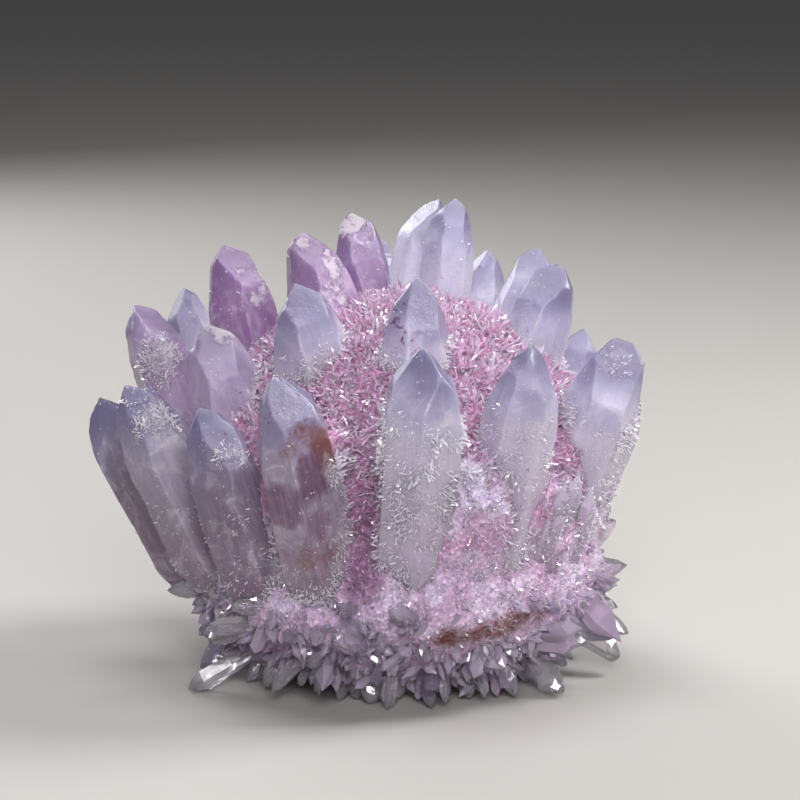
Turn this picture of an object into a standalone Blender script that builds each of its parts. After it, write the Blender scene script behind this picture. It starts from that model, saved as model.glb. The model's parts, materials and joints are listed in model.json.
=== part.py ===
"""Amethyst cluster: long quartz points standing like petals around and on top of a lump of druse.

Metres, +Z up. The origin is the centre of the flat break underneath, on which the cluster stands.
Azimuths are in degrees about +Z, counted from the front (-Y) towards the right (+X).
"""

import math
from collections import namedtuple

import bmesh
import bpy
import numpy as np
from mathutils import Matrix, Vector

MM = 0.001
GAP = 0.3 * MM  # free space between a point and what it stands in

# The way the points fan out
FAN_DEPTH = 45 * MM  # every point grows away from a spot this far below the base
END_FACE_SLOPE = math.radians(38.2)  # a quartz end face against the point's own axis
STEEP_FACE_SLOPE = math.radians(14)  # the faces that take the shoulder off between side and end
STEEP_FACE_DROP = (0.35, 1.15)  # how far below the shoulder they start, in half widths
TAPER = math.radians(1.6)  # how far a side face leans in towards the tip
SIDE_SPREAD = 0.07  # how unequal the six side faces are, as a share of the half width
END_SPREAD = 0.16  # how unequal the six end faces are, as a share of the width
NARROW_ROOT_SHARE = 0.8  # width of a root that shows, against the point's widest place
NARROW_ROOT_SLOPE = math.radians(14)
NEIGHBOUR_REACH = 1.2  # points whose axes pass within this many half widths share a boundary

# The druse lump that holds them
FOOT_RADIUS = 14 * MM  # the flat break underneath
FOOT_FLARE = 13 * MM  # height at which the bowl over the break reaches the side
LUMP_RADIUS = 26 * MM
LUMP_MIDDLE = 29 * MM  # height at which the side turns into the dome
DOME_RISE = 23 * MM
LUMP_ROUND = 28
LUMP_RING_HEIGHTS = (-1.5, 2, 5, 8.5, 13, 19, 25, 31, 37, 42, 46, 49, 51)  # mm
LUMP_ROUGHNESS = 0.8 * MM

# The small crystals on it
SEED = 11
SKIRT_ROWS = (
    # height mm, how many, tilt above level in degrees, length mm, width mm
    (4.4, 22, -62, 5.0, 2.9),
    (6.6, 23, -40, 5.4, 3.1),
    (9.8, 22, -18, 5.4, 3.1),
    (13.4, 20, 4, 4.8, 2.9),
)
SKIRT_SHIFT = 0.7  # mm up or down by which a crystal leaves its row
SKIRT_SWAY = 15  # degrees up or down by which its tilt differs
SKIRT_STAGGER = 0.4  # of a place in the row, to either side
SIZE_RANGE = (0.7, 1.35)
GAP_SPOTS = 165  # spots tried for small crystals between the points
GAP_LENGTH = 3.0 * MM
GAP_WIDTH = 1.8 * MM
GAP_SWAY = 0.35  # how far they lean from straight out, as a slope
GAP_LOWEST = 15 * MM
GAP_FOCUS_SHARE = 0.45  # they point away from the middle at this share of their height
GOLDEN_TURN = 137.508  # degrees, spreads spots evenly round a spiral
SMALL_TIP_SHARE = 0.8  # height of a small crystal's tip against its width
SMALL_ROOT_SHARE = 0.9  # width of its root against its widest place
SMALL_TIP_OFFSET = 0.06  # of the width, by which its tip stands off the axis
LOWEST_TIP = 0.25 * MM
ROOT_DEPTH = 2.6 * MM  # how far a small crystal starts inside the lump

# Crystals of the skirt that stand out by themselves
Stub = namedtuple("Stub", "azimuth height tilt length width")
STUBS = (
    # azimuth deg, height of the root mm, tilt above level deg, length mm, width mm
    Stub(-12, 11.0, 2, 7.0, 6.4),
    Stub(10, 12.0, 6, 5.6, 5.8),
    Stub(6, 4.0, -58, 8.8, 4.2),
    Stub(27, 4.2, -52, 7.8, 3.6),
    Stub(-24, 3.8, -44, 7.0, 3.2),
    Stub(-62, 6.2, -26, 12.0, 3.4),
    Stub(-92, 4.0, -20, 8.4, 3.0),
    Stub(-76, 12.5, 4, 7.4, 2.8),
    Stub(56, 5.6, -30, 7.4, 3.8),
    Stub(70, 9.0, -12, 6.8, 4.6),
    Stub(84, 13.6, 10, 6.0, 4.8),
    Stub(93, 18.4, 24, 5.4, 3.4),
    Stub(102, 7.0, -14, 6.6, 4.4),
    Stub(130, 5.0, -30, 7.4, 3.6),
    Stub(158, 10.0, -4, 7.2, 4.2),
    Stub(-174, 5.0, -34, 7.4, 3.6),
    Stub(-146, 11.0, 0, 7.0, 4.0),
    Stub(-122, 4.6, -30, 7.4, 3.4),
)

Point = namedtuple(
    "Point",
    "name azimuth radius height width length tilt_right tilt_back facing bite material",
)
POINTS = (
    # azimuth deg, tip's distance from the middle mm, tip height mm, width across flats mm,
    # length mm, extra tilt to the right and to the back deg, azimuth that the largest end face
    # looks to deg, how much deeper that face is cut mm, colour
    Point("outer_front_left", -27, 34.8, 46.5, 9.8, 34, -1, 0, 35, 1.3, "smoky_lilac"),
    Point("outer_front", 5, 34.4, 50.4, 9.4, 37, 0, 0, -25, 1.5, "pale_lilac"),
    Point("outer_front_right", 33, 32.2, 49.8, 8.8, 37, 0, 0, 60, 0.8, "pale_lilac"),
    Point("outer_right", 70, 33.0, 48.8, 10.2, 36, 4, 0, 5, 2.0, "pale_lilac"),
    Point("outer_right_back", 96, 33.0, 41.5, 8.6, 30, 4, 0, 70, 0.8, "pale_lilac"),
    Point("outer_back_right", 119, 30.5, 46.0, 7.4, 34, 0, 0, 100, 0.5, "pale_lilac"),
    Point("outer_back_right_2", 142, 35.5, 43.5, 9.4, 32, 0, 0, 170, 1.2, "pale_lilac"),
    Point("outer_back", 167, 36.5, 46.0, 9.8, 34, 2, 0, 150, 0.9, "smoky_lilac"),
    Point("outer_back_left_2", -167, 35.0, 43.0, 9.0, 32, 0, 0, -140, 1.0, "smoky_lilac"),
    Point("outer_back_left", -142, 37.0, 45.0, 9.6, 34, 0, 0, -170, 1.4, "smoky_lilac"),
    Point("outer_left_back", -117, 35.6, 51.6, 7.6, 38, 0, 0, -60, 0.6, "smoky_lilac"),
    Point("outer_left_3", -91, 42.4, 38.4, 8.6, 31, -3, 0, -30, 1.6, "smoky_lilac"),
    Point("outer_left_2", -71, 38.8, 42.4, 9.0, 33, -3, 0, 20, 1.0, "smoky_lilac"),
    Point("outer_left", -48, 34.8, 41.0, 9.6, 30, 0, 0, 30, 1.2, "smoky_lilac"),
    Point("middle_front", 8, 16.4, 56.8, 10.4, 25, 0, 0, 20, 0.8, "pale_lilac"),
    Point("middle_front_left", -45, 19.6, 56.4, 9.8, 24, -4, 0, 25, 0.6, "pale_lilac"),
    Point("middle_left", -65, 28.6, 50.8, 9.0, 24, 0, 0, 10, 1.8, "rose_lilac"),
    Point("middle_left_back", -96, 37.0, 51.2, 7.8, 27, 0, 0, 55, 0.9, "rose_lilac"),
    Point("middle_back_left", -142, 24.0, 50.0, 8.6, 22, 0, 0, -150, 1.0, "rose_lilac"),
    Point("middle_back", -172, 22.0, 58.2, 6.4, 24, 0, 0, 160, 0.5, "pale_lilac"),
    Point("middle_back_right", 145, 21.6, 57.0, 6.4, 24, 0, 0, -60, 0.4, "pale_lilac"),
    Point("middle_right_back", 113, 21.2, 58.6, 7.6, 26, 2, 0, -20, 1.4, "pale_lilac"),
    Point("middle_right", 85, 21.8, 57.8, 8.8, 25, 6, 0, -40, 2.0, "pale_lilac"),
    Point("crown_left", -102, 24.7, 59.6, 8.8, 26, 0, 0, 40, 1.3, "rose_lilac"),
    Point("crown_middle_left", -92, 13.6, 61.8, 9.0, 25, -9, 0, 45, 1.6, "rose_lilac"),
    Point("crown_middle", -138, 9.6, 63.4, 7.4, 25, -3, 0, 25, 0.6, "rose_lilac"),
    Point("crown_right_back", 158, 12.9, 65.6, 7.0, 27, 9, 0, -60, 1.6, "pale_lilac"),
    Point("crown_right", 122, 9.2, 65.8, 6.4, 27, 2, 0, 10, 0.6, "pale_lilac"),
)

# Colours: base colour as linear RGB, roughness, share of light that passes
COLOURS = {
    "pale_lilac": ((0.52, 0.46, 0.62), 0.22, 0.5),
    "smoky_lilac": ((0.33, 0.27, 0.40), 0.25, 0.5),
    "rose_lilac": ((0.46, 0.25, 0.47), 0.24, 0.5),
    "rosy_druse": ((0.62, 0.40, 0.55), 0.45, 0.0),
}

def outward(azimuth_deg):
    """Level unit vector at that azimuth."""
    a = math.radians(azimuth_deg)
    return Vector((math.sin(a), -math.cos(a), 0))


def clear_scene():
    for obj in list(bpy.data.objects):
        bpy.data.objects.remove(obj)


def make_material(name):
    colour, roughness, see_through = COLOURS[name]
    material = bpy.data.materials.new(name)
    material.use_nodes = True
    shader = material.node_tree.nodes["Principled BSDF"]
    shader.inputs["Base Color"].default_value = (*colour, 1)
    shader.inputs["Roughness"].default_value = roughness
    shader.inputs["Metallic"].default_value = 0
    shader.inputs["IOR"].default_value = 1.54
    shader.inputs["Transmission Weight"].default_value = see_through
    return material


def cut_block(planes, centre, reach):
    """A cube around centre, cut back by each plane, which is (a spot on it, the way out)."""
    bm = bmesh.new()
    bmesh.ops.create_cube(bm, size=2 * reach, matrix=Matrix.Translation(centre))
    for spot, normal in planes:
        cut = bmesh.ops.bisect_plane(
            bm,
            geom=bm.verts[:] + bm.edges[:] + bm.faces[:],
            dist=1e-7,
            plane_co=spot,
            plane_no=normal,
            clear_outer=True,
        )
        rim = [g for g in cut["geom_cut"] if isinstance(g, bmesh.types.BMEdge)]
        if rim:
            bmesh.ops.edgeloop_fill(bm, edges=rim)
    bmesh.ops.remove_doubles(bm, verts=bm.verts[:], dist=1e-6)
    bmesh.ops.recalc_face_normals(bm, faces=bm.faces[:])
    return bm


class Shape:
    """One point's axis and cutting planes, worked out from its row in POINTS."""

    def __init__(self, row, rng):
        self.row = row
        self.tip = outward(row.azimuth) * row.radius * MM + Vector((0, 0, row.height * MM))
        along = (self.tip - Vector((0, 0, -FAN_DEPTH))).normalized()
        along += Vector(
            (math.tan(math.radians(row.tilt_right)), math.tan(math.radians(row.tilt_back)), 0)
        )
        self.axis = along.normalized()
        self.half = row.width * MM / 2
        self.length = row.length * MM
        self.root = self.tip - self.axis * self.length
        look = outward(row.facing)
        self.side = (look - self.axis * look.dot(self.axis)).normalized()
        self.cross = self.axis.cross(self.side)
        self.planes = self.own_planes(rng)

    def way_round(self, i):
        """Straight out from the axis, towards the i-th of the six sides."""
        turn = math.radians(60 * i)
        return self.side * math.cos(turn) + self.cross * math.sin(turn)

    def own_planes(self, rng):
        """Six sides that lean in by TAPER, six end faces, six steep faces between and the root."""
        side_share = 1 + SIDE_SPREAD * rng.uniform(-1, 1, 6)
        end_shift = END_SPREAD * self.row.width * MM * rng.uniform(0, 1, 6)
        end_shift[0] = -self.row.bite * MM
        drop = rng.uniform(*STEEP_FACE_DROP, 6) * self.half
        shoulder = self.tip - self.axis * (self.half / math.tan(END_FACE_SLOPE))
        planes = [(self.root, -self.axis)]
        for i in range(6):
            way = self.way_round(i)
            side_spot = shoulder + way * self.half * side_share[i]
            for spot, slope in (
                (side_spot, TAPER),
                (side_spot - self.axis * drop[i], STEEP_FACE_SLOPE),
                (self.tip + self.axis * end_shift[i], END_FACE_SLOPE),
            ):
                planes.append((spot, way * math.cos(slope) + self.axis * math.sin(slope)))
        if self.root_shows():
            slope = -NARROW_ROOT_SLOPE
            for i in range(6):
                way = self.way_round(i)
                spot = self.root + way * self.half * NARROW_ROOT_SHARE
                planes.append((spot, way * math.cos(slope) + self.axis * math.sin(slope)))
        return planes

    def root_shows(self):
        """Whether the root sticks out at the lump's side."""
        return Vector((self.root.x, self.root.y)).length + self.half > lump_radius(self.root.z)

    def covers(self, spot):
        """Whether the spot lies in the point or right beside it."""
        return all((spot - on).dot(way) < MM for on, way in self.planes)

    def block(self, grow=0.0):
        """The point as a solid, with every face moved out by grow."""
        planes = [(spot + way * grow, way) for spot, way in self.planes]
        middle = (self.tip + self.root) / 2
        return cut_block(planes, middle, self.length)


def nearest_places(first, second):
    """The spots on two points' axes, root to tip, that lie closest together."""
    best = None
    for s in np.linspace(0, 1, 41):
        spot = first.root.lerp(first.tip, s)
        along = (spot - second.root).dot(second.axis)
        other = second.root + second.axis * min(max(along, 0), second.length)
        gap = (spot - other).length
        if best is None or gap < best[0]:
            best = (gap, spot, other)
    return best


def share_boundaries(shapes):
    """Where two points would grow into each other, both end at one flat boundary between them."""
    for i, first in enumerate(shapes):
        for second in shapes[i + 1 :]:
            distance, spot, other = nearest_places(first, second)
            if distance > NEIGHBOUR_REACH * (first.half + second.half):
                continue
            middle_way = (first.axis + second.axis).normalized()
            across = other - spot
            across -= middle_way * across.dot(middle_way)
            across.normalize()
            share = first.half / (first.half + second.half)
            meet = spot.lerp(other, share)
            first.planes.append((meet - across * GAP / 2, across))
            second.planes.append((meet + across * GAP / 2, -across))


def lump_radius(height):
    """The lump's outline: a bowl over the flat break, a straight side and an elliptic dome."""
    if height < FOOT_FLARE:
        rise = max(height, 0) / FOOT_FLARE
        bowl = math.sin(rise * math.pi / 2) ** 0.85
        return FOOT_RADIUS + (LUMP_RADIUS - FOOT_RADIUS) * bowl
    if height < LUMP_MIDDLE:
        return LUMP_RADIUS
    rise = min((height - LUMP_MIDDLE) / DOME_RISE, 1)
    return LUMP_RADIUS * math.sqrt(1 - rise * rise)


def lump_block(rng):
    """The lump as rings of spots, from under the flat break to the top of the dome."""
    ripple = [
        (waves, rng.uniform(0, 2 * math.pi), LUMP_ROUGHNESS * rng.uniform(0.4, 1))
        for waves in (2, 3, 5, 7)
    ]
    bm = bmesh.new()
    rings = []
    for height in LUMP_RING_HEIGHTS:
        radius = lump_radius(height * MM)
        ring = []
        for k in range(LUMP_ROUND):
            turn = 360 * k / LUMP_ROUND
            swell = sum(
                size * math.sin(waves * math.radians(turn) + phase + 0.18 * height)
                for waves, phase, size in ripple
            )
            spot = outward(turn) * radius * (1 + swell / LUMP_RADIUS)
            ring.append(bm.verts.new(spot + Vector((0, 0, height * MM))))
        rings.append(ring)
    for lower, upper in zip(rings, rings[1:]):
        for k in range(LUMP_ROUND):
            n = (k + 1) % LUMP_ROUND
            bm.faces.new((lower[k], lower[n], upper[n], upper[k]))
    top = bm.verts.new((0, 0, LUMP_MIDDLE + DOME_RISE))
    for k in range(LUMP_ROUND):
        bm.faces.new((rings[-1][k], rings[-1][(k + 1) % LUMP_ROUND], top))
    bm.faces.new(rings[0][::-1])
    return bm


def add_small_crystal(bm, root, way, length, width, turn):
    """A six-sided prism with a low pyramid on it, from root along way."""
    side = way.orthogonal().normalized()
    cross = way.cross(side)
    shoulder = length - width * SMALL_TIP_SHARE
    low, high = [], []
    for i in range(6):
        angle = turn + math.radians(60 * i)
        out = (side * math.cos(angle) + cross * math.sin(angle)) * width / math.sqrt(3)
        low.append(bm.verts.new(root + out * SMALL_ROOT_SHARE))
        high.append(bm.verts.new(root + out + way * shoulder))
    apex = bm.verts.new(root + way * length + side * width * SMALL_TIP_OFFSET)
    for i in range(6):
        n = (i + 1) % 6
        bm.faces.new((low[i], low[n], high[n], high[i]))
        bm.faces.new((high[i], high[n], apex))
    bm.faces.new(low[::-1])


def skirt_crystal(bm, azimuth, height, tilt, length, width, turn):
    """A small crystal at the lump's side, shortened, or left out, if it would reach the ground."""
    level_way = outward(azimuth)
    slope = math.radians(tilt)
    way = (level_way * math.cos(slope) + Vector((0, 0, math.sin(slope)))).normalized()
    surface = level_way * lump_radius(height) + Vector((0, 0, height))
    root = surface - level_way * ROOT_DEPTH
    whole = length + ROOT_DEPTH
    if root.z + way.z * whole < LOWEST_TIP:
        whole = (LOWEST_TIP - root.z) / way.z
    if whole > ROOT_DEPTH + width / 2:
        add_small_crystal(bm, root, way, whole, width, turn)


def skirt_crystals(bm, rng):
    """Rows of small crystals round the bowl, then the larger ones that stand out by themselves."""
    for height, count, tilt, length, width in SKIRT_ROWS:
        for k in range(count):
            size = rng.uniform(*SIZE_RANGE)
            skirt_crystal(
                bm,
                azimuth=360 * (k + rng.uniform(-SKIRT_STAGGER, SKIRT_STAGGER)) / count,
                height=(height + rng.uniform(-SKIRT_SHIFT, SKIRT_SHIFT)) * MM,
                tilt=tilt + rng.uniform(-SKIRT_SWAY, SKIRT_SWAY),
                length=length * size * MM,
                width=width * math.sqrt(size) * MM,
                turn=rng.uniform(0, math.pi),
            )
    for stub in STUBS:
        skirt_crystal(
            bm,
            azimuth=stub.azimuth,
            height=stub.height * MM,
            tilt=stub.tilt,
            length=stub.length * MM,
            width=stub.width * MM,
            turn=rng.uniform(0, math.pi),
        )


def gap_crystals(bm, shapes, rng):
    """Small crystals on the lump wherever no point stands, on an even spiral from side to top."""
    rise = LUMP_MIDDLE + DOME_RISE - GAP_LOWEST
    for k in range(GAP_SPOTS):
        height = GAP_LOWEST + rise * (k + 0.5) / GAP_SPOTS
        spot = outward(GOLDEN_TURN * k) * lump_radius(height) + Vector((0, 0, height))
        way = (spot - Vector((0, 0, height * GAP_FOCUS_SHARE))).normalized()
        way = (way + Vector(rng.uniform(-GAP_SWAY, GAP_SWAY, 3))).normalized()
        size = rng.uniform(*SIZE_RANGE)
        turn = rng.uniform(0, math.pi)
        if any(shape.covers(spot) for shape in shapes):
            continue
        root = spot - way * ROOT_DEPTH / 2
        length = GAP_LENGTH * size + ROOT_DEPTH / 2
        add_small_crystal(bm, root, way, length, GAP_WIDTH * size, turn)


def add_object(name, bm, material):
    """Puts the mesh in the scene under that name and frees bm."""
    mesh = bpy.data.meshes.new(name)
    bm.to_mesh(mesh)
    bm.free()
    mesh.materials.append(material)
    obj = bpy.data.objects.new(name, mesh)
    bpy.context.scene.collection.objects.link(obj)
    return obj


def join_into(bm, other):
    """Adds the other mesh's faces to bm and frees it."""
    mesh = bpy.data.meshes.new("joined")
    other.to_mesh(mesh)
    other.free()
    bm.from_mesh(mesh)
    bpy.data.meshes.remove(mesh)


def cut_away(target, cutter):
    """Joins target's own overlapping solids into one and takes the cutter's solids out of it."""
    cutter.hide_render = True
    cutter.display_type = "WIRE"
    modifier = target.modifiers.new("seats", "BOOLEAN")
    modifier.operation = "DIFFERENCE"
    modifier.solver = "EXACT"
    modifier.use_self = True
    modifier.object = cutter
    graph = bpy.context.evaluated_depsgraph_get()
    result = bpy.data.meshes.new_from_object(target.evaluated_get(graph))
    target.modifiers.clear()
    target.data = result
    bpy.data.objects.remove(cutter)


def shells_of(bm):
    """The separate closed surfaces of a mesh, each as a list of its faces."""
    left = set(bm.faces)
    shells = []
    while left:
        queue = [left.pop()]
        shell = []
        while queue:
            face = queue.pop()
            shell.append(face)
            for edge in face.edges:
                for near in edge.link_faces:
                    if near in left:
                        left.remove(near)
                        queue.append(near)
        shells.append(shell)
    return shells


def keep_largest_shell(mesh):
    """Drops loose crumbs that the points cut off, and closed pockets between small crystals."""
    bm = bmesh.new()
    bm.from_mesh(mesh)
    bmesh.ops.triangulate(bm, faces=bm.faces[:])
    shells = sorted(shells_of(bm), key=len)
    extra = [face for shell in shells[:-1] for face in shell]
    bmesh.ops.delete(bm, geom=extra, context="FACES")
    bm.to_mesh(mesh)
    bm.free()


def build_crust(shapes, rng, material):
    """The lump with its small crystals joined on, cut flat below and with a seat for every point."""
    solid = lump_block(rng)
    skirt_crystals(solid, rng)
    gap_crystals(solid, shapes, rng)
    crust = add_object("druse_crust", solid, material)
    cutter = bmesh.new()
    for shape in shapes:
        join_into(cutter, shape.block(grow=GAP))
    ground = 2 * LUMP_RADIUS
    below = Matrix.Translation((0, 0, -ground)) @ Matrix.Scale(2 * ground, 4)
    bmesh.ops.create_cube(cutter, size=1, matrix=below)
    cut_away(crust, add_object("cutter", cutter, material))
    keep_largest_shell(crust.data)


def main():
    clear_scene()
    rng = np.random.default_rng(SEED)
    materials = {name: make_material(name) for name in COLOURS}
    shapes = [Shape(row, rng) for row in POINTS]
    share_boundaries(shapes)
    for shape in shapes:
        add_object(shape.row.name, shape.block(), materials[shape.row.material])
    build_crust(shapes, rng, materials["rosy_druse"])


main()
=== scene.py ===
"""Looks of the amethyst cluster: its points, the rosy druse between them, small crystals and needles.

Everything is in metres, in the frame of the solids: +Z up, the flat break at z = 0, -Y to the front.
Azimuths are in degrees about +Z, counted from the front (-Y) towards the right (+X).
"""

import json
import math

import bpy
import numpy as np
from bpy.props import FloatProperty, FloatVectorProperty, IntProperty, PointerProperty
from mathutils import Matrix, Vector


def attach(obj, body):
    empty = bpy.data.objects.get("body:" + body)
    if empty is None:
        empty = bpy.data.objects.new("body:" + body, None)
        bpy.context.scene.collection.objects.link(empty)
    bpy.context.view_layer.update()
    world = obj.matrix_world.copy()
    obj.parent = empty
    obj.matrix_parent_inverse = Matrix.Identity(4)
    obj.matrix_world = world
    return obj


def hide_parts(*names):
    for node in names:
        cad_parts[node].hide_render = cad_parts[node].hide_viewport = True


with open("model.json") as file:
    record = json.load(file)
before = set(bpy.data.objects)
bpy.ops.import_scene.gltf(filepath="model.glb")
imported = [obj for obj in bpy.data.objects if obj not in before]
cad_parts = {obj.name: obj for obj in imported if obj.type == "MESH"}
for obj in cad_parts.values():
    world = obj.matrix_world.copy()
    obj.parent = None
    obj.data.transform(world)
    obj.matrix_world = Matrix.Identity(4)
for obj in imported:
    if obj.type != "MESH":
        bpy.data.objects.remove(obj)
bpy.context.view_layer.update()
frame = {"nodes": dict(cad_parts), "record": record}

bl_info = {
    "name": "Amethyst Cluster Looks",
    "version": (1, 0, 0),
    "blender": (4, 5, 0),
    "location": "View3D > Sidebar > Cluster",
    "description": "Builds the visible surfaces of an amethyst cluster around its solids",
    "category": "Object",
}

MM = 0.001
CRUST = "druse_crust"
FAN_DEPTH = 45 * MM  # the points grow away from a spot this far below the base

# The lump's outline, as in the solids
FOOT_RADIUS = 14 * MM
FOOT_FLARE = 13 * MM
LUMP_RADIUS = 26 * MM
LUMP_MIDDLE = 29 * MM
DOME_RISE = 23 * MM
LUMP_TOP = LUMP_MIDDLE + DOME_RISE


def linear(hex_colour):
    """An sRGB hex value such as 'c9bcd6' as linear RGB."""
    parts = [int(hex_colour[i : i + 2], 16) / 255 for i in (0, 2, 4)]
    return tuple(c / 12.92 if c <= 0.04045 else ((c + 0.055) / 1.055) ** 2.4 for c in parts)


# Noise and small helpers


def cell_values(cells, seed):
    """A random number in -1..1 for each whole-number cell, by mixing the bits of its numbers."""
    x, y, z = (cells[..., i].astype(np.uint64) for i in range(3))
    mixed = x * np.uint64(73856093) ^ y * np.uint64(19349663) ^ z * np.uint64(83492791)
    mixed ^= np.uint64(seed * 2654435761 % 2**32)
    for shift in (15, 13, 16):
        mixed = (mixed ^ (mixed >> np.uint64(shift))) * np.uint64(2246822519)
    return (mixed >> np.uint64(20) & np.uint64(0xFFFFF)).astype(float) / 0x7FFFF - 1


def noise(points, size, seed=0):
    """Smooth noise in -1..1: random numbers at the corners of cells of that size, eased between."""
    place = points / size
    cell = np.floor(place)
    part = place - cell
    ease = part * part * (3 - 2 * part)
    cell = cell.astype(np.int64) + 4096
    total = np.zeros(points.shape[:-1])
    for corner in np.ndindex(2, 2, 2):
        share = np.prod(np.where(corner, ease, 1 - ease), axis=-1)
        total += share * cell_values(cell + np.array(corner), seed)
    return total


def rough_noise(points, size, octaves, seed=0):
    """Noise with finer and fainter noise on top: each octave is half the size and half the height."""
    layers = [noise(points, size / 2**k, seed + k) / 2**k for k in range(octaves)]
    return sum(layers) / sum(1 / 2**k for k in range(octaves))


def smooth_step(low, high, value):
    """0 below low, 1 above high, eased between."""
    t = np.clip((value - low) / (high - low), 0, 1)
    return t * t * (3 - 2 * t)


def unit(vectors):
    return vectors / np.linalg.norm(vectors, axis=-1, keepdims=True)


def outward(azimuth_deg):
    """Level unit vectors at those azimuths."""
    a = np.radians(azimuth_deg)
    return np.stack([np.sin(a), -np.cos(a), np.zeros_like(a)], axis=-1)


def sideways(ways):
    """Two unit vectors square to each way and to each other."""
    helper = np.where(np.abs(ways[..., 2:]) < 0.9, [0.0, 0.0, 1.0], [1.0, 0.0, 0.0])
    first = unit(np.cross(helper, ways))
    return first, np.cross(ways, first)


def make_piece(name, points, faces, material, smooth=True, attributes=None):
    """A mesh object in the frame from arrays, with its attributes, material, body and slot."""
    mesh = bpy.data.meshes.new(name)
    mesh.vertices.add(len(points))
    mesh.vertices.foreach_set("co", np.ascontiguousarray(points, np.float32).ravel())
    mesh.loops.add(faces.size)
    mesh.loops.foreach_set("vertex_index", np.ascontiguousarray(faces, np.int32).ravel())
    mesh.polygons.add(len(faces))
    mesh.polygons.foreach_set("loop_start", np.arange(0, faces.size, 3, dtype=np.int32))
    mesh.polygons.foreach_set("use_smooth", np.full(len(faces), smooth))
    mesh.update(calc_edges=True)
    for label, values in (attributes or {}).items():
        if values.ndim == 1:
            layer = mesh.attributes.new(label, "FLOAT", "POINT")
            layer.data.foreach_set("value", values.astype(np.float32))
        else:
            layer = mesh.attributes.new(label, "FLOAT_COLOR", "POINT")
            rgba = np.concatenate([values, np.ones((len(values), 1))], axis=1)
            layer.data.foreach_set("color", rgba.astype(np.float32).ravel())
    mesh.materials.append(material)
    piece = bpy.data.objects.new(name, mesh)
    bpy.context.scene.collection.objects.link(piece)
    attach(piece, "root")
    return piece


def closed_rings(ring_count, around):
    """Triangles of a closed surface: a low pole, rings of points from low to high, a high pole."""
    low, high = 0, 1 + ring_count * around
    k = np.arange(around)
    n = (k + 1) % around
    ring = 1 + np.arange(ring_count - 1)[:, None] * around
    a, b, c, d = ring + k, ring + n, ring + around + n, ring + around + k
    sides = np.stack([np.stack([a, b, c], -1), np.stack([a, c, d], -1)], 2).reshape(-1, 3)
    last = 1 + (ring_count - 1) * around
    bottom = np.stack([np.full(around, low), 1 + n, 1 + k], -1)
    top = np.stack([np.full(around, high), last + k, last + n], -1)
    return np.concatenate([bottom, sides, top])


# Materials


def fill_inputs(tree, node, inputs):
    """Fills a node's inputs with values, or with links where a value is another node's output."""
    for key, value in inputs.items():
        if isinstance(value, bpy.types.NodeSocket):
            tree.links.new(value, node.inputs[key])
        else:
            node.inputs[key].default_value = value


def add_node(tree, kind, inputs=None, output=0, **settings):
    """Adds a node with its settings, values and links, and gives one of its outputs."""
    node = tree.nodes.new(kind)
    for key, value in settings.items():
        setattr(node, key, value)
    fill_inputs(tree, node, inputs or {})
    return node.outputs[output]


def new_material(name):
    """An empty material with a shader, as (material, tree, shader)."""
    material = bpy.data.materials.new(name)
    material.use_nodes = True
    tree = material.node_tree
    return material, tree, tree.nodes["Principled BSDF"]


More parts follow.
